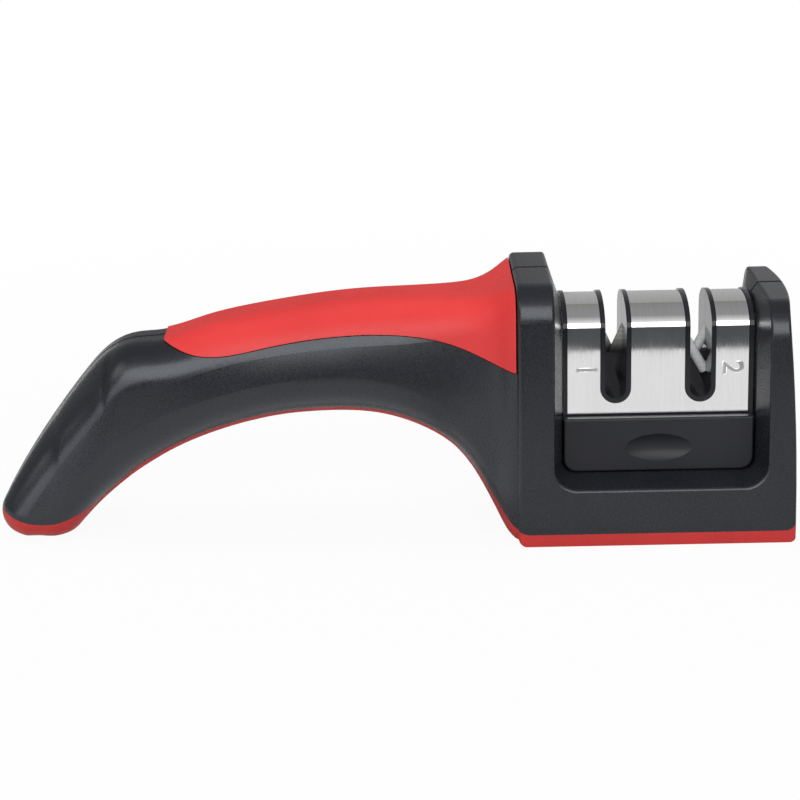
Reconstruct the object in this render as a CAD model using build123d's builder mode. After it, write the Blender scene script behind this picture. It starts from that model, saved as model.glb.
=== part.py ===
from build123d import *
import math
import os

# Two stage pull through knife sharpener: an arched handle and a U-shaped frame moulded as a front
# and a rear shell, red grips, one red sole, and a cartridge that lifts out of the frame.
# X runs from the foot to the frame's outer wall, Y from front to back, Z up. Millimetres.
os.makedirs("parts", exist_ok=True)

# Frame
half_depth = 24.5
post_face_x = 29.9
left_post_top = 63.5
right_post_top = 58.7
frame_end_x = 96.8
base_end_radius = 1.8
base_corner_radius = 2.2
crown_drop = 0.3
shoulder_radius = 8.0
post_edge_radius = 1.3
end_edge_radius = 0.7
waist_z = 40.0

# End wall, bowed outwards: height, X in the middle, X at the front and rear
end_wall = [(-1.0, 96.7, 96.6), (28.0, 96.5, 96.0), (64.0, 95.8, 92.8)]

# Well that holds the cartridge
well_left = 40.95
well_right = 87.65
well_floor = 15.8
well_corner_radius = 3.2
left_bevel = 2.4
right_bevel = 2.1
floor_bevel = 1.8
bevel_edge_radius = 0.8
mouth_corner_radius = 5.8
mouth_half_depth = 15.8
left_mouth_top = 56.6
right_mouth_top = 55.7
mouth_crown_drop = 2.0
mouth_shoulder_radius = 9.0
rib_half_length = 14.0
rib_half_width = 3.0
rib_height = 3.0
rib_clearance = 0.3

# Handle
handle_half_width = 13.8
flare_start_x = 7.5
flare_half_width = 23.4
crown_radius = 9.5
crown_tightening = 3.2
belly_radius = 11.0
flare_belly_radius = 3.5
foot_rounding = 6.3

# Grips and seam
grip_thickness = 2.0
grip_rise = 0.5
grip_gap = 0.3
seam_chamfer = 0.25

# Cartridge
cartridge_x = 64.3
cartridge_half_length = 22.95
rest_gap = 0.1
lower_half_depth = 15.5
ledge_z = 29.2
block_edge_radius = 0.5
body_half_depth = 11.85
body_rise = 5.05
arch_spring_z = 50.7
rim_width = 1.05
rim_half_depth = 12.9
rim_rise = 6.1

# Steel cover
cover_half_depth = 12.5
cover_rise = 5.7
cover_thickness = 0.6
cover_low_z = 29.7
cover_end_gap = 0.1

# Knife slots
slot_offset = 10.2
slot_half_width = 2.55
lip_half_width = 3.7
slot_centre_z = 36.0
cover_slot_gap = 0.05
web_half_depth = 1.5
web_top_z = 42.0
vertex_z = 43.7

# Coarse blades, fine rods and the screws that clamp the halves
blade_tilt = 24.6
blade_thickness = 1.2
blade_width = 6.0
blade_below = 6.5
blade_above = 9.0
rod_tilt = 30.0
rod_radius = 1.25
rod_below = 7.0
rod_above = 9.0
cutter_gap = 0.08
screw_x = (-18.5, 0.2, 18.7)
screw_z = 38.0
shank_radius = 1.1
shank_length = 18.0
head_radius = 2.2
head_height = 1.6
head_clearance = 0.3
seat_y = 10.0
rod_chamfer = 0.2

# Finger recess in the cartridge's lower block
recess_length = 16.0
recess_height = 6.8
recess_depth = 1.2
recess_z = 21.8
recess_axis_out = ((recess_height / 2) ** 2 - recess_depth**2) / (2 * recess_depth)
recess_arc_radius = ((recess_length / 2) ** 2 + recess_depth**2) / (2 * recess_depth)
recess_reach = 0.6 * recess_length
recess_sag = recess_arc_radius - recess_depth - math.sqrt(recess_arc_radius**2 - recess_reach**2)

# Far beyond the object, for cuts that run right through
reach = 200.0

# Top and bottom points of the handle's sections in side view, from the frame to the foot
stations = [
    ((31.7, 62.8), (31.2, 0.3)),
    ((29.1, 61.5), (28.6, 1.1)),
    ((25.7, 59.8), (25.7, 4.8)),
    ((21.0, 58.3), (22.0, 11.2)),
    ((13.5, 57.9), (16.15, 19.25)),
    ((3.5, 57.8), (7.0, 25.3)),
    ((-8.5, 57.3), (-4.5, 28.9)),
    ((-20.5, 56.0), (-16.5, 29.6)),
    ((-33.5, 53.9), (-28.5, 28.7)),
    ((-45.5, 51.2), (-39.5, 26.1)),
    ((-56.5, 48.3), (-49.0, 22.7)),
    ((-64.0, 47.6), (-55.0, 19.8)),
    ((-69.5, 44.9), (-59.0, 17.5)),
    ((-75.8, 38.4), (-63.0, 15.0)),
    ((-83.2, 28.8), (-67.3, 12.0)),
    ((-89.6, 19.6), (-71.1, 8.9)),
    ((-95.4, 10.2), (-75.1, 4.9)),
    ((-98.0, 4.8), (-78.2, 1.5)),
    ((-97.1, -3.0), (-81.5, -3.2)),
]

# Line between the black shells and the red sole, in side view, from the foot to the frame's end
sole_line = [
    (-102.5, 11.5),
    (-95.7, 7.2),
    (-86.5, 4.2),
    (-78.0, 5.9),
    (-68.5, 12.0),
    (-52.5, 22.0),
    (-32.5, 28.6),
    (-14.5, 30.4),
    (-0.5, 29.0),
    (11.5, 23.4),
    (19.5, 15.9),
    (25.7, 8.6),
    (29.5, 4.2),
    (32.5, 3.0),
]
sole_end_start = (94.5, 3.0)
sole_end_middle = (96.0, 3.9)
sole_end_top = (97.0, 6.4)

# Lower edge of the red grip in side view, from its tip to the frame
grip_edge = [
    (-55.2, 48.6),
    (-52.0, 47.4),
    (-48.2, 46.2),
    (-44.1, 45.7),
    (-39.8, 45.9),
    (-30.8, 47.6),
    (-12.8, 50.2),
    (-3.9, 50.5),
    (10.9, 48.9),
    (19.7, 46.0),
    (25.7, 43.6),
    (31.1, 42.6),
]


def ramp(x):
    """Share of the way from the flare's start to the frame at x."""
    return min(max(0.0, (x - flare_start_x) / (post_face_x - flare_start_x)), 1.0)


def station_plane(top, bottom):
    """Plane of a section: its x runs along Y and its y from the bottom point to the top point."""
    top_point = Vector(top[0], 0, top[1])
    bottom_point = Vector(bottom[0], 0, bottom[1])
    across = Vector(0, 1, 0)
    rise = (top_point - bottom_point).normalized()
    return Plane(origin=(top_point + bottom_point) / 2, x_dir=across, z_dir=across.cross(rise))


def handle_form(inset=0.0):
    """Handle from the frame to below the foot, with its skin moved in by inset."""
    with BuildPart() as form:
        for top, bottom in stations:
            way = ramp((top[0] + bottom[0]) / 2)
            share = way**3
            half_width = handle_half_width + (flare_half_width - handle_half_width) * share - inset
            height = (Vector(*top) - Vector(*bottom)).length - 2 * inset
            top_radius = min(crown_radius, 0.34 * height) - crown_tightening * way - inset
            low_radius = min(belly_radius, 0.4 * height)
            low_radius += (flare_belly_radius - low_radius) * share - inset
            with BuildSketch(station_plane(top, bottom)):
                Rectangle(2 * half_width, height)
                fillet(vertices().group_by(Axis.Y)[-1], max(top_radius, 0.5))
                fillet(vertices().group_by(Axis.Y)[0], max(low_radius, 0.5))
        loft()
    return form.part


def upright(x, half_width, top, drop, radius):
    """Upright section of a post at x: straight sides, a low crown and two round shoulders."""
    with BuildSketch(Plane.YZ.offset(x)) as profile:
        with BuildLine():
            side = top - drop
            Polyline((-half_width, side), (-half_width, 0), (half_width, 0), (half_width, side))
            ThreePointArc((half_width, side), (0, top), (-half_width, side))
        make_face()
        fillet(vertices().group_by(Axis.Y)[-1], radius)
    return profile.sketch


def post(outer_x, inner_x, well_x, top, mouth_top):
    """Post above the waist, from its outer face to its face in the well, bevelled over its crown."""
    with BuildPart() as form:
        full = upright(inner_x, half_depth, top, crown_drop, shoulder_radius)
        extrude(full, amount=outer_x - inner_x)
        mouth = upright(well_x, mouth_half_depth, mouth_top, mouth_crown_drop, mouth_shoulder_radius)
        loft([full, mouth], ruled=True)
        split(bisect_by=Plane.XY.offset(waist_z), keep=Keep.TOP)
    return form.part


def well_outline(offset, widening):
    """Front view of the well below the waist, 0 for its narrow part and 1 for its mouth."""
    with BuildSketch(Plane.XZ.offset(offset)) as outline:
        with BuildLine():
            left = well_left - widening * left_bevel
            right = well_right + widening * right_bevel
            low = well_floor - widening * floor_bevel
            Polyline((left, low), (right, low), (right, waist_z), (left, waist_z), close=True)
        make_face()
        corner_radius = well_corner_radius + widening * (mouth_corner_radius - well_corner_radius)
        fillet(vertices().group_by(Axis.Y)[0], corner_radius)
    return outline.sketch


# Solid whose bowed right side is the frame's end wall
with BuildPart() as end_form:
    edge_y = half_depth + 1
    for z, middle_x, edge_x in end_wall:
        with BuildSketch(Plane.XY.offset(z)):
            with BuildLine():
                Polyline((edge_x, -edge_y), (0, -edge_y), (0, edge_y), (edge_x, edge_y))
                ThreePointArc((edge_x, edge_y), (middle_x, 0), (edge_x, -edge_y))
            make_face()
    loft()

# Frame: a slab with the well in it, and two posts whose mouth bevel runs over their crowns
with BuildPart() as frame_form:
    with BuildSketch(Plane.XZ):
        with BuildLine():
            Polyline(
                (post_face_x, 0),
                (frame_end_x, 0),
                (frame_end_x, waist_z),
                (post_face_x, waist_z),
                close=True,
            )
        make_face()
        fillet(vertices().group_by(Axis.Y)[0].sort_by(Axis.X)[-1], base_end_radius)
    extrude(amount=half_depth, both=True)
    extrude(well_outline(0, 0), amount=mouth_half_depth, both=True, mode=Mode.SUBTRACT)
    for side in (-1, 1):
        narrow = well_outline(side * mouth_half_depth, 0)
        wide = well_outline(side * half_depth, 1)
        loft([narrow, wide], ruled=True, mode=Mode.SUBTRACT)
    add(post(post_face_x, well_left - left_bevel, well_left, left_post_top, left_mouth_top))
    add(post(frame_end_x, well_right + right_bevel, well_right, right_post_top, right_mouth_top))
    add(end_form.part, mode=Mode.INTERSECT)
    crown_edges = edges().filter_by_position(Axis.Y, -1, 1).filter_by_position(Axis.Z, waist_z, reach)
    fillet(crown_edges.sort_by(Axis.X)[-1], end_edge_radius)
    crown_edges = edges().filter_by_position(Axis.Y, -1, 1).filter_by_position(Axis.Z, waist_z, reach)
    fillet(crown_edges.sort_by(Axis.X)[0], post_edge_radius)
    sill_z = well_floor - floor_bevel
    sills = edges().filter_by(Axis.X).filter_by_position(Axis.Z, sill_z - 0.1, sill_z + 0.1)
    fillet(sills.sort_by(Axis.Y)[0], bevel_edge_radius)
    with BuildSketch(Plane.XZ):
        with Locations((post_face_x, 0)):
            Rectangle(base_corner_radius, base_corner_radius, align=(Align.MIN, Align.MIN))
        with Locations((post_face_x + base_corner_radius, base_corner_radius)):
            Circle(base_corner_radius, mode=Mode.SUBTRACT)
    extrude(amount=half_depth, both=True, mode=Mode.SUBTRACT)
    with Locations((cartridge_x, 0, well_floor)):
        standing = (Align.CENTER, Align.CENTER, Align.MIN)
        Box(2 * rib_half_length, 2 * rib_half_width, rib_height, align=standing)

# Whole outer form of the housing with its sole, standing on the table
with BuildPart() as housing_form:
    add(frame_form.part)
    add(handle_form())
    split(bisect_by=Plane.XY, keep=Keep.TOP)
    foot_edges = edges().group_by(Axis.Z)[0].filter_by_position(Axis.X, -reach, 0)
    fillet(foot_edges, foot_rounding)

# Everything below the line between shells and sole
with BuildPart() as sole_zone:
    with BuildSketch(Plane.XZ) as sole_side:
        with BuildLine():
            Spline(sole_line)
            Line(sole_line[-1], sole_end_start)
            ThreePointArc(sole_end_start, sole_end_middle, sole_end_top)
            Polyline(sole_end_top, (reach, sole_end_top[1]), (reach, -reach))
            Polyline((reach, -reach), (sole_line[0][0], -reach), sole_line[0])
        make_face()
    extrude(amount=reach, both=True)


def grip_zone(gap):
    """Everything above the grip's lower edge, pulled in by gap on all its sides."""
    with BuildPart() as zone:
        edge = [(x, z + gap) for x, z in grip_edge]
        left = edge[0][0] + gap
        right = post_face_x - gap
        with BuildSketch(Plane.XZ):
            with BuildLine():
                Spline(edge)
                Polyline(edge[-1], (edge[-1][0], reach), (edge[0][0], reach), edge[0])
            make_face()
            with Locations(((left + right) / 2, 0)):
                Rectangle(right - left, 2 * reach, mode=Mode.INTERSECT)
        extrude(amount=reach, both=True)
    return zone.part


grip_core = handle_form(grip_thickness)

with BuildPart() as sole:
    add(housing_form.part)
    add(sole_zone.part, mode=Mode.INTERSECT)
sole.part.label = "sole"
export_step(sole.part, "parts/sole.step")

# Both shells before they are parted, with the recess for the grips
with BuildPart() as shell_form:
    add(housing_form.part)
    add(sole_zone.part, mode=Mode.SUBTRACT)
    add(grip_zone(0) - grip_core, mode=Mode.SUBTRACT)

with BuildPart() as front_shell:
    add(shell_form.part)
    split(bisect_by=Plane.XZ, keep=Keep.TOP)
front_shell.part.label = "front_shell"
export_step(front_shell.part, "parts/front_shell.step")

with BuildPart() as rear_shell:
    add(shell_form.part)
    split(bisect_by=Plane.XZ, keep=Keep.BOTTOM)
rear_shell.part.label = "rear_shell"
export_step(rear_shell.part, "parts/rear_shell.step")

with BuildPart() as grip_form:
    add(handle_form(-grip_rise))
    add(grip_zone(grip_gap), mode=Mode.INTERSECT)
    add(grip_core, mode=Mode.SUBTRACT)

with BuildPart() as front_grip:
    add(grip_form.part)
    split(bisect_by=Plane.XZ, keep=Keep.TOP)
    chamfer(edges().filter_by_position(Axis.Y, -0.01, 0.01).sort_by(SortBy.LENGTH)[-1], seam_chamfer)
front_grip.part.label = "front_grip"
export_step(front_grip.part, "parts/front_grip.step")

with BuildPart() as rear_grip:
    add(grip_form.part)
    split(bisect_by=Plane.XZ, keep=Keep.BOTTOM)
    chamfer(edges().filter_by_position(Axis.Y, -0.01, 0.01).sort_by(SortBy.LENGTH)[-1], seam_chamfer)
rear_grip.part.label = "rear_grip"
export_step(rear_grip.part, "parts/rear_grip.step")


def arch_profile(x, half_width, rise, low):
    """Upright section of the cartridge at x: straight walls from low, under half an ellipse."""
    with BuildSketch(Plane.YZ.offset(x)) as profile:
        with BuildLine():
            right = (half_width, arch_spring_z)
            left = (-half_width, arch_spring_z)
            Polyline(left, (-half_width, low), (half_width, low), right)
            EllipticalCenterArc((0, arch_spring_z), half_width, rise, start_angle=0, arc_size=180)
        make_face()
    return profile.sketch


def slot_outline(half_width):
    """Both knife slots in side view, round at the bottom and open at the top."""
    with BuildSketch(Plane.XZ) as outline:
        for side in (-1, 1):
            with Locations((cartridge_x + side * slot_offset, slot_centre_z)):
                Circle(half_width)
                Rectangle(2 * half_width, slot_centre_z, align=(Align.CENTER, Align.MIN))
    return outline.sketch


def blade_outline(lean, offset):
    """Side view of a coarse blade whose edge runs through the vertex and leans right for +1."""
    with BuildSketch(Plane.XZ.offset(offset)) as outline:
        with Locations(Location((cartridge_x - slot_offset, vertex_z, 0), (0, 0, -lean * blade_tilt))):
            with Locations((lean * blade_width / 2, (blade_above - blade_below) / 2)):
                Rectangle(blade_width, blade_above + blade_below)
    return outline.sketch


def rod_plane(lean, side):
    """Plane square to a fine rod at its lower end; side is +1 in front of the parting line."""
    tilt = math.radians(rod_tilt)
    up = Vector(lean * math.sin(tilt), 0, math.cos(tilt))
    outward = Vector(lean * math.cos(tilt), 0, -math.sin(tilt))
    vertex = Vector(cartridge_x + slot_offset, -side * (cutter_gap + rod_radius), vertex_z)
    end = vertex + outward * rod_radius - up * rod_below
    return Plane(origin=end, x_dir=(0, side, 0), z_dir=up)


# Both halves of the cartridge before they are parted
cartridge_left = cartridge_x - cartridge_half_length
cartridge_right = cartridge_x + cartridge_half_length
block_low = well_floor + rest_gap
with BuildPart() as lips:
    extrude(slot_outline(lip_half_width), amount=reach, both=True)
    rim_section = arch_profile(cartridge_left, rim_half_depth, rim_rise, ledge_z)
    extrude(rim_section, amount=2 * cartridge_half_length, mode=Mode.INTERSECT)

with BuildPart() as webs:
    extrude(slot_outline(slot_half_width + cover_slot_gap), amount=web_half_depth, both=True)
    split(bisect_by=Plane.XY.offset(web_top_z), keep=Keep.BOTTOM)

with BuildPart() as cartridge_form:
    with BuildSketch(Plane.XZ):
        with Locations((cartridge_x, block_low)):
            Rectangle(2 * cartridge_half_length, ledge_z - block_low, align=(Align.CENTER, Align.MIN))
        fillet(vertices().group_by(Axis.Y)[0], well_corner_radius)
    extrude(amount=lower_half_depth, both=True)
    fillet(edges().group_by(Axis.Y)[0] + edges().group_by(Axis.Y)[-1], block_edge_radius)
    body_section = arch_profile(cartridge_left, body_half_depth, body_rise, ledge_z)
    extrude(body_section, amount=2 * cartridge_half_length)
    extrude(rim_section, amount=rim_width)
    right_rim = arch_profile(cartridge_right - rim_width, rim_half_depth, rim_rise, ledge_z)
    extrude(right_rim, amount=rim_width)
    add(lips.part)
    extrude(slot_outline(slot_half_width), amount=reach, both=True, mode=Mode.SUBTRACT)
    add(webs.part)
    with Locations((cartridge_x, 0, 0)):
        Box(
            2 * (rib_half_length + rib_clearance),
            2 * (rib_half_width + rib_clearance),
            well_floor + rib_height + rib_clearance,
            align=standing,
            mode=Mode.SUBTRACT,
        )
    for lean, side in ((1, 1), (-1, -1)):
        pocket_depth = side * (2 * cutter_gap + blade_thickness)
        extrude(blade_outline(lean, 0), amount=pocket_depth, mode=Mode.SUBTRACT)
    for lean, side in ((-1, 1), (1, -1)):
        with BuildSketch(rod_plane(lean, side)):
            Circle(rod_radius)
            with Locations(((cutter_gap + rod_radius) / 2, 0)):
                Rectangle(cutter_gap + rod_radius, 2 * rod_radius)
        extrude(amount=rod_below + rod_above, mode=Mode.SUBTRACT)
    for side in (-1, 1):
        with BuildSketch(Plane.XY.offset(recess_z)):
            with BuildLine():
                face_y = side * lower_half_depth
                axis_y = face_y + side * recess_axis_out
                ThreePointArc(
                    (cartridge_x - recess_reach, face_y + side * recess_sag),
                    (cartridge_x, face_y - side * recess_depth),
                    (cartridge_x + recess_reach, face_y + side * recess_sag),
                )
                Polyline(
                    (cartridge_x + recess_reach, face_y + side * recess_sag),
                    (cartridge_x + recess_reach, axis_y),
                    (cartridge_x - recess_reach, axis_y),
                    (cartridge_x - recess_reach, face_y + side * recess_sag),
                )
            make_face()
        turning_axis = Axis((cartridge_x, axis_y, recess_z), (1, 0, 0))
        revolve(axis=turning_axis, mode=Mode.SUBTRACT)
    for x in screw_x:
        with BuildSketch(Plane.XZ.offset(-seat_y)):
            with Locations((cartridge_x + x, screw_z)):
                Circle(head_radius + head_clearance)
        extrude(amount=-body_half_depth, mode=Mode.SUBTRACT)
        with BuildSketch(Plane.XZ.offset(-seat_y)):
            with Locations((cartridge_x + x, screw_z)):
                Circle(shank_radius)
        extrude(amount=shank_length, mode=Mode.SUBTRACT)

with BuildPart() as cartridge_front_half:
    add(cartridge_form.part)
    split(bisect_by=Plane.XZ, keep=Keep.TOP)
cartridge_front_half.part.label = "cartridge_front_half"
export_step(cartridge_front_half.part, "parts/cartridge_front_half.step")

with BuildPart() as cartridge_rear_half:
    add(cartridge_form.part)
    split(bisect_by=Plane.XZ, keep=Keep.BOTTOM)
cartridge_rear_half.part.label = "cartridge_rear_half"
export_step(cartridge_rear_half.part, "parts/cartridge_rear_half.step")

with BuildPart() as steel_cover:
    cover_left = cartridge_left + rim_width + cover_end_gap
    cover_length = 2 * (cartridge_half_length - rim_width - cover_end_gap)
    extrude(arch_profile(cover_left, cover_half_depth, cover_rise, cover_low_z), amount=cover_length)
    inside_depth = cover_half_depth - cover_thickness
    inside_rise = cover_rise - cover_thickness
    inside = arch_profile(cover_left, inside_depth, inside_rise, ledge_z)
    extrude(inside, amount=cover_length, mode=Mode.SUBTRACT)
    extrude(slot_outline(lip_half_width + cover_slot_gap), amount=reach, both=True, mode=Mode.SUBTRACT)
steel_cover.part.label = "steel_cover"
export_step(steel_cover.part, "parts/steel_cover.step")

with BuildPart() as coarse_blade_front:
    extrude(blade_outline(1, cutter_gap), amount=blade_thickness)
coarse_blade_front.part.label = "coarse_blade_front"
export_step(coarse_blade_front.part, "parts/coarse_blade_front.step")

with BuildPart() as coarse_blade_rear:
    extrude(blade_outline(-1, -cutter_gap), amount=-blade_thickness)
coarse_blade_rear.part.label = "coarse_blade_rear"
export_step(coarse_blade_rear.part, "parts/coarse_blade_rear.step")

with BuildPart() as fine_rod_front:
    with BuildSketch(rod_plane(-1, 1)):
        Circle(rod_radius)
    extrude(amount=rod_below + rod_above)
    chamfer(edges().filter_by(GeomType.CIRCLE), rod_chamfer)
fine_rod_front.part.label = "fine_rod_front"
export_step(fine_rod_front.part, "parts/fine_rod_front.step")

with BuildPart() as fine_rod_rear:
    with BuildSketch(rod_plane(1, -1)):
        Circle(rod_radius)
    extrude(amount=rod_below + rod_above)
    chamfer(edges().filter_by(GeomType.CIRCLE), rod_chamfer)
fine_rod_rear.part.label = "fine_rod_rear"
export_step(fine_rod_rear.part, "parts/fine_rod_rear.step")

# Three screws that clamp the halves, their heads sunk in the rear face under the cover
with BuildPart() as cartridge_screws:
    for x in screw_x:
        with BuildSketch(Plane.XZ.offset(-seat_y)):
            with Locations((cartridge_x + x, screw_z)):
                Circle(head_radius)
        extrude(amount=-head_height)
        with BuildSketch(Plane.XZ.offset(-seat_y)):
            with Locations((cartridge_x + x, screw_z)):
                Circle(shank_radius)
        extrude(amount=shank_length)
cartridge_screws.part.label = "cartridge_screws"
export_step(cartridge_screws.part, "parts/cartridge_screws.step")
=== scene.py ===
import logging
import math
from dataclasses import dataclass
from enum import Enum

import bpy
import numpy as np
from mathutils import Matrix, Vector
from mathutils.bvhtree import BVHTree


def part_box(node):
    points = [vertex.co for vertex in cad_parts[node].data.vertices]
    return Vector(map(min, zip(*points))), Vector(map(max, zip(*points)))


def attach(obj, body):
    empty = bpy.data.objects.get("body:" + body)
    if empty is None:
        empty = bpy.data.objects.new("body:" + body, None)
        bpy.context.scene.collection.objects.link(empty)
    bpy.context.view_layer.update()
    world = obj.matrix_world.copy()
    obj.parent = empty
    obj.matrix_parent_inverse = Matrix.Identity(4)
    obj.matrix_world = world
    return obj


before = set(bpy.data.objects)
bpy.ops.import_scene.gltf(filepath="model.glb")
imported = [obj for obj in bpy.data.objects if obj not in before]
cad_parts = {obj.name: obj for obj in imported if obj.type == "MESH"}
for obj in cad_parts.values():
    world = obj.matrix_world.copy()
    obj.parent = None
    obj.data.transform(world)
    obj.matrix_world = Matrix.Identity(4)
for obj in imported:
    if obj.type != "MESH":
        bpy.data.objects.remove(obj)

# A pull through knife sharpener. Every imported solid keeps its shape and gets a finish; the edge of
# the sole along the arch and the two pressed numbers are the only pieces made here.

LOG = logging.getLogger("sharpener")
MM = 0.001
Colour = tuple[float, float, float]
Triple = tuple[float, float, float]
NOISE = (0.3, 0.7)  # where nearly all of a soft noise lies


class Body(Enum):
    """The two bodies that pieces ride on."""

    HOUSING = "housing"
    CARTRIDGE = "cartridge"


class Streaks(Enum):
    """The axis across which fine lines lie on a ground or brushed surface."""

    ACROSS_X = (1.0, 0.035, 0.035)
    ACROSS_Z = (0.05, 0.05, 1.0)


class Fill(Enum):
    """How a pressed figure is set: filled in flat, or as a raised line round its edge."""

    FLAT = "BOTH"
    LINE = "NONE"


def grey(tone: float) -> Colour:
    """A neutral colour of one tone."""
    return (tone, tone, tone)


def bare_tree(owner: bpy.types.Material | bpy.types.World) -> bpy.types.NodeTree:
    """Empties the node tree of a material or a world.

    Args:
        owner: what the tree belongs to.

    Returns:
        The empty tree.
    """
    owner.use_nodes = True
    owner.node_tree.nodes.clear()
    return owner.node_tree


def add(name: str, data: bpy.types.ID) -> bpy.types.Object:
    """Puts a mesh, text, lamp or camera into the scene, at the origin.

    Args:
        name: name of the object.
        data: what it holds.

    Returns:
        The new object.
    """
    holder = bpy.data.objects.new(name, data)
    bpy.context.scene.collection.objects.link(holder)
    return holder


class Bench:
    """A workbench for one material: its shader, its coordinates and short calls for its nodes."""

    def __init__(self, name: str) -> None:
        """Starts the material.

        Args:
            name: name of the material.
        """
        self.material = bpy.data.materials.new(name)
        self.tree = bare_tree(self.material)
        self.shader = self.tree.nodes.new("ShaderNodeBsdfPrincipled")
        output = self.tree.nodes.new("ShaderNodeOutputMaterial")
        self.tree.links.new(self.shader.outputs["BSDF"], output.inputs["Surface"])
        self.place = self.tree.nodes.new("ShaderNodeTexCoord").outputs["Object"]

    def wire(self, value: object, socket: bpy.types.NodeSocket) -> None:
        """Feeds a socket with another node's output, or sets it to a plain value.

        Args:
            value: an output socket, a number or a tuple.
            socket: the input socket.
        """
        if isinstance(value, bpy.types.NodeSocket):
            self.tree.links.new(value, socket)
        else:
            socket.default_value = value

    def calc(self, operation: str, *values: object) -> bpy.types.NodeSocket:
        """Works out one number.

        Args:
            operation: the name of the sum, such as MULTIPLY.
            values: its terms, sockets or numbers.

        Returns:
            The output socket.
        """
        node = self.tree.nodes.new("ShaderNodeMath")
        node.operation = operation
        for value, socket in zip(values, node.inputs):
            self.wire(value, socket)
        return node.outputs[0]

    def stretched(self, scale: Triple) -> bpy.types.NodeSocket:
        """Stretches the object's coordinates, for patterns that are longer one way.

        Args:
            scale: factor on each axis.

        Returns:
            The stretched coordinates.
        """
        node = self.tree.nodes.new("ShaderNodeMapping")
        node.inputs["Scale"].default_value = scale
        self.wire(self.place, node.inputs["Vector"])
        return node.outputs["Vector"]

    def cloud(self, size_mm: float, detail: float = 2.0, roughness: float = 0.5,
              place: bpy.types.NodeSocket | None = None) -> bpy.types.NodeSocket:
        """Lays out soft noise whose blotches are about a given size.

        Args:
            size_mm: size of one blotch.
            detail: number of finer layers.
            roughness: strength of the finer layers.
            place: coordinates to read, or None for the object's own.

        Returns:
            Noise from 0 to 1.
        """
        node = self.tree.nodes.new("ShaderNodeTexNoise")
        self.wire(place or self.place, node.inputs["Vector"])
        node.inputs["Scale"].default_value = 1.0 / (size_mm * MM)
        node.inputs["Detail"].default_value = detail
        node.inputs["Roughness"].default_value = roughness
        return node.outputs["Fac"]

    def between(self, value: bpy.types.NodeSocket, low: float, high: float,
                start: float, end: float) -> bpy.types.NodeSocket:
        """Carries a value from one range to another, held at the ends.

        Args:
            value: the number read.
            low: value that gives start.
            high: value that gives end.
            start: result at the low end.
            end: result at the high end.

        Returns:
            The number carried over.
        """
        node = self.tree.nodes.new("ShaderNodeMapRange")
        node.interpolation_type = "SMOOTHSTEP"
        names = ("From Min", "From Max", "To Min", "To Max")
        for name, edge in zip(names, (low, high, start, end)):
            node.inputs[name].default_value = edge
        self.wire(value, node.inputs["Value"])
        return node.outputs["Result"]

    def blend(self, share: object, first: object, second: object) -> bpy.types.NodeSocket:
        """Mixes two colours.

        Args:
            share: 0 for the first colour, 1 for the second.
            first: colour or socket.
            second: colour or socket.

        Returns:
            The mixed colour.
        """
        node = self.tree.nodes.new("ShaderNodeMix")
        node.data_type = "RGBA"
        for value, socket in zip((share, first, second), ("Factor", 6, 7)):
            self.wire((*value, 1.0) if isinstance(value, tuple) else value, node.inputs[socket])
        return node.outputs[2]

    def relief(self, height: bpy.types.NodeSocket, depth_mm: float) -> None:
        """Gives the surface a relief, on top of one that it has.

        Args:
            height: height from 0 to 1.
            depth_mm: real depth of that height.
        """
        node = self.tree.nodes.new("ShaderNodeBump")
        node.inputs["Distance"].default_value = depth_mm * MM
        self.wire(height, node.inputs["Height"])
        normal = self.shader.inputs["Normal"]
        if normal.is_linked:
            self.wire(normal.links[0].from_socket, node.inputs["Normal"])
        self.wire(node.outputs["Normal"], normal)

    def axis(self, name: str) -> bpy.types.NodeSocket:
        """Reads one coordinate of a point on the object.

        Args:
            name: X, Y or Z.

        Returns:
            The coordinate, in metres.
        """
        node = self.tree.nodes.new("ShaderNodeSeparateXYZ")
        self.wire(self.place, node.inputs[0])
        return node.outputs[name]

    def curve(self, value: bpy.types.NodeSocket,
              points: tuple[tuple[float, float], ...]) -> bpy.types.NodeSocket:
        """Reads a smooth curve through points given in millimetres.

        Args:
            value: place along the curve, in metres.
            points: pairs of place and result, in rising order.

        Returns:
            The result, in metres.
        """
        place, result = (np.array(column) * MM for column in zip(*points))
        low, high = result.min(), result.max()
        node = self.tree.nodes.new("ShaderNodeFloatCurve")
        line = node.mapping.curves[0]
        length = place[-1] - place[0]
        shares = np.stack([(place - place[0]) / length, (result - low) / (high - low)], 1)
        for share, spot in zip(shares[[0, -1]], line.points):
            spot.location = share
        for share in shares[1:-1]:
            line.points.new(*share)
        node.mapping.update()
        along = self.calc("DIVIDE", self.calc("SUBTRACT", value, place[0]), length)
        self.wire(self.calc("MINIMUM", along, 1.0), node.inputs["Value"])
        return self.calc("MULTIPLY_ADD", node.outputs["Value"], high - low, low)

    def mixed(self, first: bpy.types.NodeSocket, second: bpy.types.NodeSocket,
              share: float) -> bpy.types.NodeSocket:
        """Adds two patterns up, each by its share.

        Args:
            first: the first pattern.
            second: the second pattern.
            share: share of the first; the second has the rest.

        Returns:
            The mixed pattern.
        """
        part = self.calc("MULTIPLY", first, share)
        rest = self.calc("MULTIPLY", second, 1.0 - share)
        return self.calc("ADD", part, rest)

    def from_seam(self) -> bpy.types.NodeSocket:
        """Distance from the parting plane between the front and rear halves, in metres."""
        return self.calc("ABSOLUTE", self.axis("Y"))


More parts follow.
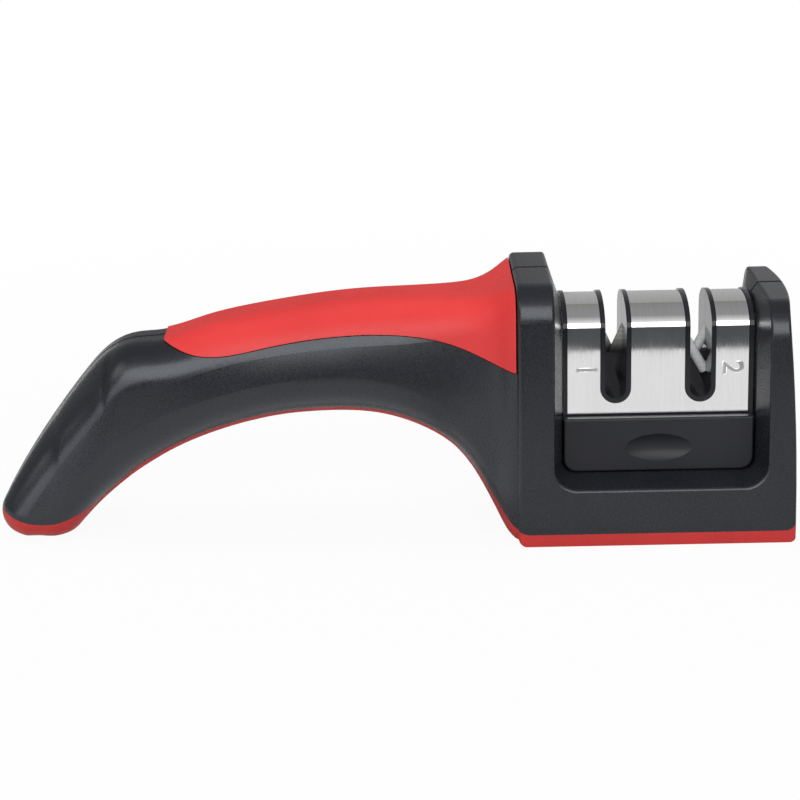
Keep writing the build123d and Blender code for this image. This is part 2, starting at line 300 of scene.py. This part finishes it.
@dataclass(frozen=True)
class RoundedSides:
    """The soft roundness of the handle's sides, as a relief about the line where they are upright.

    Attributes:
        line_mm: places on X and the upright line's height there.
        bends: places on X and the roundness there, in thousandths per millimetre.
        steep_mm: the places between which the line turns from steep to level.
        steep_share: distance across the steep part as a share of the height above its line.
        straight_mm: distance from the line beyond which the side runs straighter.
    """

    line_mm: tuple[tuple[float, float], ...]
    bends: tuple[tuple[float, float], ...]
    steep_mm: tuple[float, float] = (-72.0, -55.0)
    steep_share: float = 0.66
    straight_mm: float = 16.0

    def add(self, bench: Bench) -> None:
        """Adds the relief: round near the line and ever straighter away from it, like a hyperbola.

        With d the distance from the line and s the one beyond which the side runs straighter, the
        height is the roundness times s squared times 1 less the root of 1 + (d / s)^2.

        Args:
            bench: the material's workbench.
        """
        x, z = bench.axis("X"), bench.axis("Z")
        above = bench.calc("SUBTRACT", z, bench.curve(x, self.line_mm))
        steep, level = (edge * MM for edge in self.steep_mm)
        lean = bench.between(x, steep, level, self.steep_share, 1.0)
        away = bench.calc("DIVIDE", bench.calc("MULTIPLY", above, lean), self.straight_mm * MM)
        rounded = bench.calc("SQRT", bench.calc("MULTIPLY_ADD", away, away, 1.0))
        fall = bench.calc("SUBTRACT", 1.0, rounded)
        height = bench.calc("MULTIPLY", fall, bench.curve(x, self.bends))
        bench.relief(height, self.straight_mm ** 2)


@dataclass(frozen=True)
class MouldedFinish:
    """Moulded plastic or rubber: a grain that scatters the light, faint mottling, a parting line.

    Attributes:
        name: name of the material.
        colour: its main colour.
        deep_colour: the colour in the mottles and in the grain's pits.
        roughness: middle roughness, which the grain swings up and down.
        roughness_swing: size of that swing.
        specular: strength of the plain reflection.
        tint: colour of that reflection.
        grain_mm: size of one grain.
        grain_depth_mm: depth of the grain.
        grain_share: strength of the deep colour in the pits.
        pits: levels of the grain between which a pit ends.
        mottle_mm: size of one mottle.
        mottle_share: strength of the deep colour in the mottles.
        seam_mm: distance from the parting plane within which the line lies.
        seam_core: share of that distance at full strength.
        seam_colour: colour in the line.
        seam_depth_mm: depth of the line.
        glossy_above_mm: height above which the surface is polished, or None.
        glossy_share: roughness there, as a share of the roughness below.
        form: a roundness laid over the whole shape, or None.
    """

    name: str
    colour: Colour
    deep_colour: Colour
    roughness: float = 0.5
    roughness_swing: float = 0.08
    specular: float = 0.5
    tint: Colour = grey(1.0)
    grain_mm: float = 0.28
    grain_depth_mm: float = 0.028
    grain_share: float = 0.16
    pits: tuple[float, float] = (0.35, 0.65)
    mottle_mm: float = 14.0
    mottle_share: float = 0.6
    seam_mm: float = 0.4
    seam_core: float = 0.45
    seam_colour: Colour = (0.004, 0.004, 0.005)
    seam_depth_mm: float = 0.12
    glossy_above_mm: float | None = None
    glossy_share: float = 0.22
    form: RoundedSides | None = None

    def build(self) -> bpy.types.Material:
        """Makes the material.

        Returns:
            The finished material.
        """
        bench = Bench(self.name)
        mottle = bench.cloud(self.mottle_mm, detail=3.0)
        grain = bench.cloud(self.grain_mm, detail=2.5, roughness=0.6)
        mottled = bench.between(mottle, *NOISE, 0.0, self.mottle_share)
        body = bench.blend(mottled, self.colour, self.deep_colour)
        pitted = bench.between(grain, *self.pits, self.grain_share, 0.0)
        body = bench.blend(pitted, body, self.deep_colour)
        core, rim = self.seam_mm * self.seam_core * MM, self.seam_mm * MM
        line = bench.between(bench.from_seam(), core, rim, 1.0, 0.0)
        bench.wire(bench.blend(line, body, self.seam_colour), bench.shader.inputs["Base Color"])
        low, high = self.roughness - self.roughness_swing, self.roughness + self.roughness_swing
        rough = bench.between(grain, *NOISE, low, high)
        if self.glossy_above_mm:
            edge = self.glossy_above_mm * MM
            polish = bench.between(bench.axis("Z"), edge, edge + MM, 1.0, self.glossy_share)
            rough = bench.calc("MULTIPLY", rough, polish)
        bench.wire(bench.calc("MAXIMUM", rough, line), bench.shader.inputs["Roughness"])
        if self.form:
            self.form.add(bench)
        bench.relief(grain, self.grain_depth_mm)
        bench.relief(bench.calc("SUBTRACT", 1.0, line), self.seam_depth_mm)
        bench.shader.inputs["Specular IOR Level"].default_value = self.specular
        bench.shader.inputs["Specular Tint"].default_value = (*self.tint, 1.0)
        return bench.material


@dataclass(frozen=True)
class MetalFinish:
    """Brushed or ground metal: fine lines one way, with cloudy wear between them.

    Attributes:
        name: name of the material.
        colour: its main colour.
        dull_colour: the colour between the lines.
        streaks: the way the lines lie.
        roughness: middle roughness, which lines and wear swing up and down.
        roughness_swing: size of that swing.
        line_mm: width of one fine line.
        line_depth_mm: depth of the fine lines.
        line_share: share of the fine lines in the tone; the broad ones have the rest.
        line_levels: levels of the lines between which the metal brightens.
        broad_lines: width of a broad line, in fine ones.
        wave_depth_mm: depth of the broad lines.
        wear_mm: size of one cloud of wear.
        wear_share: share of the wear in the roughness.
        painted_shade_mm: heights between which a painted shade, darkest below, fades out, or None.
        painted_shade_colour: colour of that painted shade below them.
        metallic: share of metal in the surface.
    """

    name: str
    colour: Colour
    dull_colour: Colour
    streaks: Streaks
    roughness: float
    roughness_swing: float = 0.1
    line_mm: float = 0.14
    line_depth_mm: float = 0.004
    line_share: float = 0.6
    line_levels: tuple[float, float] = (0.38, 0.64)
    broad_lines: float = 3.5
    wave_depth_mm: float = 0.0
    wear_mm: float = 5.0
    wear_share: float = 0.3
    painted_shade_mm: tuple[float, float] | None = None
    painted_shade_colour: Colour = (0.012, 0.012, 0.013)
    metallic: float = 1.0

    def build(self) -> bpy.types.Material:
        """Makes the material.

        Returns:
            The finished material.
        """
        bench = Bench(self.name)
        along = bench.stretched(self.streaks.value)
        lines = bench.cloud(self.line_mm, detail=3.0, roughness=0.65, place=along)
        broad = bench.cloud(self.line_mm * self.broad_lines, place=along)
        wear = bench.cloud(self.wear_mm, detail=3.0)
        mixed = bench.mixed(lines, broad, self.line_share)
        shine = bench.between(mixed, *self.line_levels, 0.0, 1.0)
        tone = bench.blend(shine, self.dull_colour, self.colour)
        # Painted shade: the colour darkens to near black towards the bottom, where the slot's depth
        # keeps the light out.
        if self.painted_shade_mm:
            low, high = (edge * MM for edge in self.painted_shade_mm)
            lit = bench.between(bench.axis("Z"), low, high, 0.0, 1.0)
            tone = bench.blend(lit, self.painted_shade_colour, tone)
        bench.wire(tone, bench.shader.inputs["Base Color"])
        worn = bench.mixed(wear, mixed, self.wear_share)
        low, high = self.roughness - self.roughness_swing, self.roughness + self.roughness_swing
        bench.wire(bench.between(worn, *NOISE, high, low), bench.shader.inputs["Roughness"])
        bench.relief(lines, self.line_depth_mm)
        if self.wave_depth_mm:
            bench.relief(broad, self.wave_depth_mm)
        bench.shader.inputs["Metallic"].default_value = self.metallic
        return bench.material


@dataclass(frozen=True)
class CeramicFinish:
    """Fired ceramic: pale, close grained, with rows of faint grinding marks round the rod.

    Attributes:
        name: name of the material.
        colour: its main colour.
        deep_colour: the colour in the grain and the marks.
        grain_mm: size of one grain.
        grain_depth_mm: depth of the grain.
        mark_mm: width of one grinding mark.
        mark_levels: levels of grain and marks together between which the deep colour ends.
        smooth: roughness in the grain's pits.
        rough: roughness on top of the grain.
    """

    name: str = "fired_ceramic"
    colour: Colour = (0.92, 0.92, 0.925)
    deep_colour: Colour = (0.76, 0.765, 0.77)
    grain_mm: float = 0.09
    grain_depth_mm: float = 0.006
    mark_mm: float = 0.35
    mark_levels: tuple[float, float] = (0.15, 0.4)
    smooth: float = 0.32
    rough: float = 0.48

    def build(self) -> bpy.types.Material:
        """Makes the material.

        Returns:
            The finished material.
        """
        bench = Bench(self.name)
        grain = bench.cloud(self.grain_mm, detail=3.0, roughness=0.6)
        marks = bench.cloud(self.mark_mm, place=bench.stretched(Streaks.ACROSS_Z.value))
        deep = bench.between(bench.calc("MULTIPLY", grain, marks), *self.mark_levels, 1.0, 0.0)
        tone = bench.blend(deep, self.colour, self.deep_colour)
        bench.wire(tone, bench.shader.inputs["Base Color"])
        worn = bench.between(grain, *NOISE, self.smooth, self.rough)
        bench.wire(worn, bench.shader.inputs["Roughness"])
        bench.relief(grain, self.grain_depth_mm)
        return bench.material


HANDLE_SIDES = RoundedSides(
    line_mm=(
        (-96.0, -1.5), (-85.3, 0.0), (-80.4, 5.5), (-75.3, 11.5), (-69.4, 20.4), (-64.3, 26.0),
        (-59.5, 29.0), (-52.8, 32.0), (-42.5, 35.4), (-31.0, 37.3), (-18.5, 38.8), (-6.5, 39.1),
        (5.3, 37.6), (14.8, 34.6), (25.7, 28.3), (31.5, 27.0)),
    bends=(
        (-96.0, 29.0), (-76.0, 26.0), (-70.0, 20.0), (-62.0, -1.0), (-50.0, 5.5), (-38.0, 16.5),
        (-18.0, 24.5), (-6.0, 20.0), (7.0, 13.0), (20.0, 7.0), (30.0, 0.0)))
BLACK_PLASTIC = MouldedFinish(
    name="grained_black_plastic", colour=(0.0088, 0.0096, 0.0128),
    deep_colour=(0.006, 0.0066, 0.0092), roughness=0.27, specular=0.52, tint=(0.9, 0.94, 1.0),
    grain_mm=0.22, grain_depth_mm=0.014, seam_mm=0.9, form=HANDLE_SIDES)
RED_GRIP = MouldedFinish(
    name="red_soft_grip", colour=(0.53, 0.027, 0.026), deep_colour=(0.46, 0.022, 0.021),
    specular=0.32, grain_mm=0.34, seam_mm=0.2, seam_colour=(0.5, 0.02, 0.018))
RED_SOLE = MouldedFinish(
    name="red_sole_rubber", colour=(0.42, 0.028, 0.026), deep_colour=(0.35, 0.022, 0.021),
    specular=0.2, seam_mm=0.02, seam_colour=(0.4, 0.02, 0.018))
CARTRIDGE_PLASTIC = MouldedFinish(
    name="cartridge_plastic", colour=(0.0125, 0.013, 0.0165), deep_colour=(0.0075, 0.008, 0.011),
    roughness=0.42, specular=0.28, grain_mm=0.2, grain_depth_mm=0.008, seam_mm=0.1,
    glossy_above_mm=29.2)
COVER_STEEL = MetalFinish(
    name="brushed_cover_steel", colour=(0.92, 0.915, 0.92), dull_colour=(0.86, 0.855, 0.86),
    streaks=Streaks.ACROSS_X, roughness=0.048, roughness_swing=0.026, line_depth_mm=0.0011,
    wave_depth_mm=0.009)
# The pressed floor's dark grey is painted shade inside the stamped figure; only its higher roughness
# is the steel's own.
SHADED_STAMP_STEEL = MetalFinish(
    name="stamped_steel_painted_shade", colour=grey(0.5), dull_colour=(0.34, 0.34, 0.35),
    streaks=Streaks.ACROSS_X, roughness=0.4)
RIDGE_STEEL = MetalFinish(
    name="raised_steel_edge", colour=grey(0.92), dull_colour=grey(0.8),
    streaks=Streaks.ACROSS_X, roughness=0.2)
# The carbide's darkening towards its lower end is painted shade from the slot's depth, not the
# metal's own colour.
CARBIDE = MetalFinish(
    name="ground_carbide", colour=(0.66, 0.65, 0.62), dull_colour=(0.46, 0.45, 0.43),
    streaks=Streaks.ACROSS_Z, roughness=0.38, metallic=0.8, painted_shade_mm=(42.0, 47.5))
SCREW_STEEL = MetalFinish(
    name="plated_steel", colour=grey(0.6), dull_colour=(0.42, 0.42, 0.43),
    streaks=Streaks.ACROSS_Z, roughness=0.3)
CERAMIC = CeramicFinish()


def dress(node: str, material: bpy.types.Material) -> None:
    """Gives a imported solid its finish.

    Args:
        node: name of the solid.
        material: the finish.
    """
    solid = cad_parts[node]
    if not solid.material_slots:
        solid.data.materials.append(material)
    for slot in solid.material_slots:
        slot.material = material
    LOG.info("%s wears %s", node, material.name)


@dataclass(frozen=True)
class SoleLip:
    """The sole's thin edge, which wraps up round the lower edge of one shell along the arch.

    Attributes:
        name: name of the piece.
        shell: the solid that it wraps round.
        side: -1 for the front, 1 for the rear.
        span: its two ends on X.
        stations: number of cross sections between the ends.
        probes: number of places across at which the shell is felt.
        rows: number of points across one sheet.
        inner: distance of its inner edge from the middle plane, under the sole.
        reach: distance up to which the shell is felt.
        climb: height that the outer edge has climbed above the inner one.
        taper: length over which that climb grows from nothing, at the foot.
        proud: thickness that stands out of the shell.
        buried: depth of the upper sheet inside the shell.
        below: height from which the shell is felt, under the floor.
    """

    name: str
    shell: str
    side: float
    span: tuple[float, float] = (-0.076, 0.0255)
    stations: int = 180
    probes: int = 90
    rows: int = 9
    inner: float = 6.4 * MM
    reach: float = 21.0 * MM
    climb: float = 1.3 * MM
    taper: float = 14.0 * MM
    proud: float = 0.1 * MM
    buried: float = 0.3 * MM
    below: float = -10.0 * MM

    def underside(self, across: np.ndarray) -> tuple[np.ndarray, np.ndarray]:
        """Feels the shell's underside from below, at every station of the arch.

        Args:
            across: distances from the middle plane at which it is felt.

        Returns:
            The stations on X, and the heights, one row a station and none where nothing is met.
        """
        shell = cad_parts[self.shell]
        tree = BVHTree.FromObject(shell, bpy.context.evaluated_depsgraph_get())
        along = np.linspace(*self.span, self.stations)
        starts = ((x, self.side * y, self.below) for x in along for y in across)
        hits = (tree.ray_cast(Vector(start), Vector((0.0, 0.0, 1.0)))[0] for start in starts)
        height = np.array([hit.z if hit else np.nan for hit in hits])
        return along, height.reshape(len(along), len(across))

    def rings(self) -> np.ndarray:
        """Works out the lip's cross sections, one closed ring of points a station.

        With s running from 0 at the inner edge to 1 at the outer one, the lower sheet is the
        shell's underside less the lip's thickness times the root of 1 - s^6, and the upper sheet
        is the underside raised by the depth at which it is buried. The outer edge lies where the
        underside has climbed by a set height, which grows evenly from nothing along the taper.

        Returns:
            The points, by station, place round the ring, and X, Y and Z.
        """
        across = np.linspace(self.inner, self.reach, self.probes)
        along, height = self.underside(across)
        grown = np.minimum((along - along[0]) / self.taper, 1.0)
        share = np.linspace(0.0, 1.0, self.rows)
        thin = self.proud * np.sqrt(1.0 - share ** 6)
        sections = []
        for x, line, part in zip(along, height, grown):
            seen = np.isfinite(line)
            y, z = across[seen], np.maximum.accumulate(line[seen])
            outer = np.interp(z[0] + self.climb * part, z, y)
            row = self.inner + (outer - self.inner) * share
            low = np.interp(row, y, z)
            place = np.full_like(row, x), self.side * row
            lower = np.stack([*place, low - thin], 1)
            upper = np.stack([*place, low + self.buried], 1)
            sections.append(np.concatenate([lower, upper[::-1]]))
        return np.array(sections)

    def make(self, material: bpy.types.Material) -> None:
        """Makes the lip as one closed surface: four-sided faces between the rings, and two ends.

        Args:
            material: the sole's finish.
        """
        points = self.rings()
        count, ring = points.shape[:2]
        i, j = np.meshgrid(np.arange(count - 1), np.arange(ring), indexing="ij")
        here, ahead, k = i * ring, (i + 1) * ring, (j + 1) % ring
        quads = np.stack([here + j, ahead + j, ahead + k, here + k], -1).reshape(-1, 4)
        first = np.arange(ring)
        faces = [*quads.tolist(), first.tolist(), (first + (count - 1) * ring)[::-1].tolist()]
        if self.side > 0:
            faces = [face[::-1] for face in faces]
        mesh = bpy.data.meshes.new(self.name)
        mesh.from_pydata(points.reshape(-1, 3).tolist(), [], faces)
        mesh.polygons.foreach_set("use_smooth", np.arange(len(faces)) < len(quads))
        mesh.materials.append(material)
        piece = add(self.name, mesh)
        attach(piece, Body.HOUSING.value)
        LOG.info("%s rides on the %s", piece.name, Body.HOUSING.value)


@dataclass
class Housing:
    """The black shells with the red grips let into them, and the red sole below."""

    shells: tuple[str, str] = ("front_shell", "rear_shell")
    grips: tuple[str, str] = ("front_grip", "rear_grip")
    sole: str = "sole"
    lips: tuple[SoleLip, ...] = (
        SoleLip("sole_lip_front", "front_shell", -1.0), SoleLip("sole_lip_rear", "rear_shell", 1.0))

    def make(self) -> None:
        """Dresses the shells, the grips and the sole, and wraps the sole's edge round the arch."""
        plastic, grip, sole = BLACK_PLASTIC.build(), RED_GRIP.build(), RED_SOLE.build()
        for name in self.shells:
            dress(name, plastic)
        for name in self.grips:
            dress(name, grip)
        dress(self.sole, sole)
        for lip in self.lips:
            lip.make(sole)


@dataclass
class StageNumber:
    """A plain number pressed into the cover beside a slot: a floor in painted shade, a bright raised
    edge.

    Attributes:
        figure: the number.
        centre_x: its middle on X.
        centre_z: its middle on Z.
        height: height of the figure.
        figure_share: that height as a share of the text's size.
        ridge: half thickness of the raised edge.
        boldness: distance by which the strokes are made wider.
        proud: distance of its middle from the cover's face.
    """

    figure: str
    centre_x: float
    centre_z: float
    height: float = 5.0 * MM
    figure_share: float = 0.73
    ridge: float = 0.11 * MM
    boldness: float = 0.12 * MM
    proud: float = 0.012 * MM

    def outline(self, name: str, ridge: float, fill: Fill) -> bpy.types.Object:
        """Sets the figure as text and turns it into a mesh.

        Args:
            name: name of the piece.
            ridge: half thickness of its line, or 0 for a flat figure.
            fill: how it is set.

        Returns:
            The mesh, in the plane of the text.
        """
        text = bpy.data.curves.new(name, "FONT")
        text.body = self.figure
        text.align_x, text.align_y = "CENTER", "CENTER"
        text.size = self.height / self.figure_share
        text.fill_mode = fill.value
        text.offset = self.boldness
        text.bevel_depth = ridge
        text.bevel_resolution = 2
        text.resolution_u = 8
        holder = add(name, text)
        bpy.context.view_layer.update()
        seen = holder.evaluated_get(bpy.context.evaluated_depsgraph_get())
        mesh = bpy.data.meshes.new_from_object(seen)
        bpy.data.objects.remove(holder)
        return add(name, mesh)

    def place(self, piece: bpy.types.Object, front: float) -> None:
        """Turns the figure a quarter turn clockwise and lays it on the cover's front face.

        The text's up line becomes +X, its forward line -Z, and its rise the way out of the cover.

        Args:
            piece: the figure in the plane of the text.
            front: the face's place on Y.
        """
        mesh = piece.data
        flat = np.empty(len(mesh.vertices) * 3, np.float32)
        mesh.vertices.foreach_get("co", flat)
        points = flat.reshape(-1, 3)
        middle = 0.5 * (points.min(0) + points.max(0))
        x, y, rise = (points - middle).T
        placed = np.stack([self.centre_x + y, front - rise - self.proud, self.centre_z - x], 1)
        mesh.vertices.foreach_set("co", placed.astype(np.float32).ravel())
        mesh.update()

    def make(self, floor: bpy.types.Material, edge: bpy.types.Material) -> None:
        """Makes the floor and the raised edge of the number.

        Args:
            floor: finish of the pressed floor, its dark grey a painted shade.
            edge: finish of the edge.
        """
        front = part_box("steel_cover")[0].y
        for part, ridge, fill, material in (
                ("floor", 0.0, Fill.FLAT, floor), ("edge", self.ridge, Fill.LINE, edge)):
            piece = self.outline(f"number_{self.figure}_{part}", ridge, fill)
            self.place(piece, front)
            piece.data.materials.clear()
            piece.data.materials.append(material)
            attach(piece, Body.CARTRIDGE.value)
            LOG.info("%s rides on the %s", piece.name, Body.CARTRIDGE.value)


@dataclass
class Cartridge:
    """The lift-out cartridge: two plastic halves, the steel cover, the cutters and their screws."""

    halves: tuple[str, str] = ("cartridge_front_half", "cartridge_rear_half")
    cover: str = "steel_cover"
    blades: tuple[str, str] = ("coarse_blade_front", "coarse_blade_rear")
    rods: tuple[str, str] = ("fine_rod_front", "fine_rod_rear")
    screws: str = "cartridge_screws"
    numbers: tuple[StageNumber, ...] = (
        StageNumber("1", 47.1 * MM, 40.6 * MM), StageNumber("2", 82.4 * MM, 40.6 * MM))

    def make(self) -> None:
        """Dresses the cartridge and stamps its two numbers."""
        plastic, carbide, ceramic = CARTRIDGE_PLASTIC.build(), CARBIDE.build(), CERAMIC.build()
        for name in self.halves:
            dress(name, plastic)
        dress(self.cover, COVER_STEEL.build())
        for name in self.blades:
            dress(name, carbide)
        for name in self.rods:
            dress(name, ceramic)
        dress(self.screws, SCREW_STEEL.build())
        floor, edge = SHADED_STAMP_STEEL.build(), RIDGE_STEEL.build()
        for number in self.numbers:
            number.make(floor, edge)


@dataclass(frozen=True)
class Softbox:
    """A rectangular lamp that looks at a point.

    Attributes:
        name: name of the lamp.
        place: where it hangs, in metres.
        target: the point that it looks at.
        size: its width and height, in metres.
        power: its power, in watts.
        mirrored: whether it shows in reflections.
    """

    name: str
    place: Triple
    target: Triple
    size: tuple[float, float]
    power: float
    mirrored: bool = True

    def make(self) -> None:
        """Hangs the lamp and turns it to its target."""
        lamp = bpy.data.lights.new(self.name, "AREA")
        lamp.shape = "RECTANGLE"
        lamp.size, lamp.size_y = self.size
        lamp.energy = self.power
        holder = add(self.name, lamp)
        look = Vector(self.target) - Vector(self.place)
        turn = look.to_track_quat("-Z", "Y").to_matrix().to_4x4()
        holder.matrix_world = Matrix.Translation(self.place) @ turn
        holder.visible_camera = False
        holder.visible_glossy = self.mirrored


@dataclass(frozen=True)
class Card:
    """A studio card that shows only in reflections.

    Attributes:
        name: name of the card.
        corner: its first corner.
        side: the line from there along its near edge.
        rise: the line from its near edge to its far one.
        colour: brightness along the near edge.
        far_colour: brightness along the far edge, or None for the same.
    """

    name: str
    corner: Triple
    side: Triple
    rise: Triple
    colour: Colour
    far_colour: Colour | None = None

    def make(self) -> None:
        """Puts up the card as one flat face, its tone running from the near edge to the far one."""
        material = bpy.data.materials.new(self.name)
        tree = bare_tree(material)
        glow = tree.nodes.new("ShaderNodeEmission")
        tones = tree.nodes.new("ShaderNodeAttribute")
        tones.attribute_name = "tone"
        tree.links.new(tones.outputs["Color"], glow.inputs["Color"])
        out = tree.nodes.new("ShaderNodeOutputMaterial")
        tree.links.new(glow.outputs[0], out.inputs["Surface"])
        start, side, rise = (np.array(line) for line in (self.corner, self.side, self.rise))
        mesh = bpy.data.meshes.new(self.name)
        corners = (start, start + side, start + side + rise, start + rise)
        mesh.from_pydata(corners, [], [(0, 1, 2, 3)])
        near, far = (*self.colour, 1.0), (*(self.far_colour or self.colour), 1.0)
        tone = mesh.attributes.new("tone", "FLOAT_COLOR", "POINT")
        tone.data.foreach_set("color", np.array((near, near, far, far), np.float32).ravel())
        mesh.materials.append(material)
        card = add(self.name, mesh)
        card.visible_camera = False
        card.visible_diffuse = False
        card.visible_shadow = False
        card.visible_transmission = False


@dataclass
class Studio:
    """The pale floor, the white surroundings, the lamps and the reflector cards.

    Attributes:
        floor_reach: half the width of the floor, in metres.
        floor_depth: depth of the floor under the object's feet, so that the two don't coincide.
        floor_tone: tone of the floor's cloth.
        near_glow: share of white that the eye sees in the floor close to the object.
        near_reach: distances between which that share grows to 1.
        sky_for_light: strength of the surroundings as a light.
        sky_in_mirrors: strength of the surroundings in reflections.
        lamps: the lamps.
        cards: the cards, from the back wall over the ceiling to the table in front.
    """

    floor_reach: float = 3.0
    floor_depth: float = 0.1 * MM
    floor_tone: float = 0.6
    near_glow: float = 0.94
    near_reach: tuple[float, float] = (0.12, 0.4)
    sky_for_light: float = 0.26
    sky_in_mirrors: float = 0.3
    lamps: tuple[Softbox, ...] = (
        Softbox("front_softbox", (-0.1, -1.45, 0.68), (0.0, 0.0, 0.03), (2.2, 1.15), 29.0),
        Softbox("top_softbox", (0.0, 0.1, 1.1), (0.0, 0.0, 0.02), (1.2, 0.7), 10.0, False),
        Softbox("heel_softbox", (-0.85, -0.3, 0.6), (-0.07, 0.0, 0.03), (0.5, 0.4), 1.0),
    )
    cards: tuple[Card, ...] = (
        Card("back_wall", (0.15, 1.6, -0.01), (1.85, 0.0, 0.0), (0.0, 0.0, 1.65),
             grey(0.46), grey(0.34)),
        Card("back_wall_left", (-2.0, 1.6, -0.01), (2.15, 0.0, 0.0), (0.0, 0.0, 1.65),
             grey(0.27), grey(0.24)),
        Card("back_wall_edge", (-2.0, 1.59, 1.64), (4.0, 0.0, 0.0), (0.0, 0.0, 0.16),
             (0.24, 0.24, 0.19)),
        Card("ceiling", (-2.0, 1.59, 1.8), (4.0, 0.0, 0.0), (0.0, -1.64, -0.5),
             grey(0.245), grey(0.29)),
        Card("ceiling_front", (-2.0, -0.05, 1.3), (4.0, 0.0, 0.0), (0.0, -1.35, 0.0),
             grey(0.29), grey(1.0)),
        Card("table_end", (-2.0, -1.5, 0.0008), (4.0, 0.0, 0.0), (0.0, 1.32, 0.0),
             (0.078, 0.08, 0.082)),
        Card("left_card", (-1.6, -0.9, 0.001), (1.24, 0.0, 0.0), (0.0, 0.0, 0.35),
             (2.2, 2.2, 2.25)),
        Card("table_glow", (-0.6, -0.135, 0.0008), (0.6, 0.0, 0.0), (0.0, 0.135, 0.0),
             grey(1.0)),
        Card("table_shade", (-0.6, -0.18, 0.0008), (0.63, 0.0, 0.0), (0.0, 0.045, 0.0),
             (0.05, 0.05, 0.052)),
    )

    def floor(self) -> None:
        """Lays a pale floor, fully white far off, that keeps a soft shadow under the object."""
        material = bpy.data.materials.new("pale_floor")
        tree = bare_tree(material)
        cloth = tree.nodes.new("ShaderNodeBsdfDiffuse")
        cloth.inputs["Color"].default_value = (*grey(self.floor_tone), 1.0)
        glow = tree.nodes.new("ShaderNodeEmission")
        path = tree.nodes.new("ShaderNodeLightPath")
        place = tree.nodes.new("ShaderNodeTexCoord")
        distance = tree.nodes.new("ShaderNodeVectorMath")
        distance.operation = "LENGTH"
        spread = tree.nodes.new("ShaderNodeMapRange")
        edges = zip(("From Min", "From Max", "To Min"), (*self.near_reach, self.near_glow))
        for name, value in edges:
            spread.inputs[name].default_value = value
        share = tree.nodes.new("ShaderNodeMath")
        share.operation = "MULTIPLY"
        tree.links.new(place.outputs["Object"], distance.inputs[0])
        tree.links.new(distance.outputs["Value"], spread.inputs["Value"])
        tree.links.new(spread.outputs["Result"], share.inputs[1])
        tree.links.new(path.outputs["Is Camera Ray"], share.inputs[0])
        mix = tree.nodes.new("ShaderNodeMixShader")
        out = tree.nodes.new("ShaderNodeOutputMaterial")
        tree.links.new(share.outputs[0], mix.inputs[0])
        tree.links.new(cloth.outputs[0], mix.inputs[1])
        tree.links.new(glow.outputs[0], mix.inputs[2])
        tree.links.new(mix.outputs[0], out.inputs["Surface"])
        signs = ((-1, -1), (1, -1), (1, 1), (-1, 1))
        reach, low = self.floor_reach, -self.floor_depth
        corners = [(x * reach, y * reach, low) for x, y in signs]
        mesh = bpy.data.meshes.new("floor")
        mesh.from_pydata(corners, [], [(0, 1, 2, 3)])
        mesh.materials.append(material)
        floor = add("floor", mesh)

    def surroundings(self) -> None:
        """Makes the world white to the eye, grey in reflections and calm as a light."""
        world = bpy.data.worlds.new("studio")
        bpy.context.scene.world = world
        tree = bare_tree(world)
        path = tree.nodes.new("ShaderNodeLightPath")
        sky = tree.nodes.new("ShaderNodeBackground")
        sky.inputs["Color"].default_value = (*grey(1.0), 1.0)
        level = None
        for ray, strength in (("Is Glossy Ray", self.sky_in_mirrors), ("Is Transmission Ray", 1.0),
                              ("Is Camera Ray", 1.0)):
            pick = tree.nodes.new("ShaderNodeMix")
            tree.links.new(path.outputs[ray], pick.inputs["Factor"])
            pick.inputs["A"].default_value = self.sky_for_light
            pick.inputs["B"].default_value = strength
            if level:
                tree.links.new(level, pick.inputs["A"])
            level = pick.outputs["Result"]
        out = tree.nodes.new("ShaderNodeOutputWorld")
        tree.links.new(level, sky.inputs["Strength"])
        tree.links.new(sky.outputs[0], out.inputs["Surface"])

    def make(self) -> None:
        """Sets up the whole studio."""
        self.floor()
        self.surroundings()
        for lamp in self.lamps:
            lamp.make()
        for card in self.cards:
            card.make()


@dataclass(frozen=True)
class ViewCamera:
    """The camera of the product picture: a long lens a little above the object, rolled slightly.

    Attributes:
        place: where it stands.
        pitch: angle by which it looks down.
        roll: angle by which it is turned about its own line.
        lens: focal length, in millimetres.
        sensor: width of its picture, in millimetres.
        near: nearest distance that it shows, in metres.
        far: farthest distance that it shows, in metres.
    """

    place: Triple = (2.01 * MM, -576.76 * MM, 195.87 * MM)
    pitch: float = math.radians(16.0)
    roll: float = math.radians(1.117)
    lens: float = 109.35
    sensor: float = 36.0
    near: float = 0.01
    far: float = 20.0

    def make(self) -> None:
        """Makes the camera and sets it as the scene's own.

        Its forward line is level with +Y and tipped down by the pitch; its right and up lines are
        then turned about that line by the roll.
        """
        forward = Vector((0.0, math.cos(self.pitch), -math.sin(self.pitch)))
        right = Vector((1.0, 0.0, 0.0))
        up = right.cross(forward)
        side = right * math.cos(self.roll) - up * math.sin(self.roll)
        top = right * math.sin(self.roll) + up * math.cos(self.roll)
        camera = bpy.data.cameras.new("product_camera")
        camera.lens = self.lens
        camera.sensor_width = self.sensor
        camera.clip_start, camera.clip_end = self.near, self.far
        holder = add("product_camera", camera)
        turn = Matrix((side, top, -forward)).transposed().to_4x4()
        holder.matrix_world = Matrix.Translation(self.place) @ turn
        bpy.context.scene.camera = holder


def main() -> None:
    """Dresses the sharpener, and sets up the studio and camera."""
    logging.basicConfig(level=logging.INFO, format="%(message)s")
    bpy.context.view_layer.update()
    for part in (Housing(), Cartridge(), Studio(), ViewCamera()):
        part.make()
    bpy.context.scene.view_settings.view_transform = "Standard"


if __name__ == "__main__":
    main()
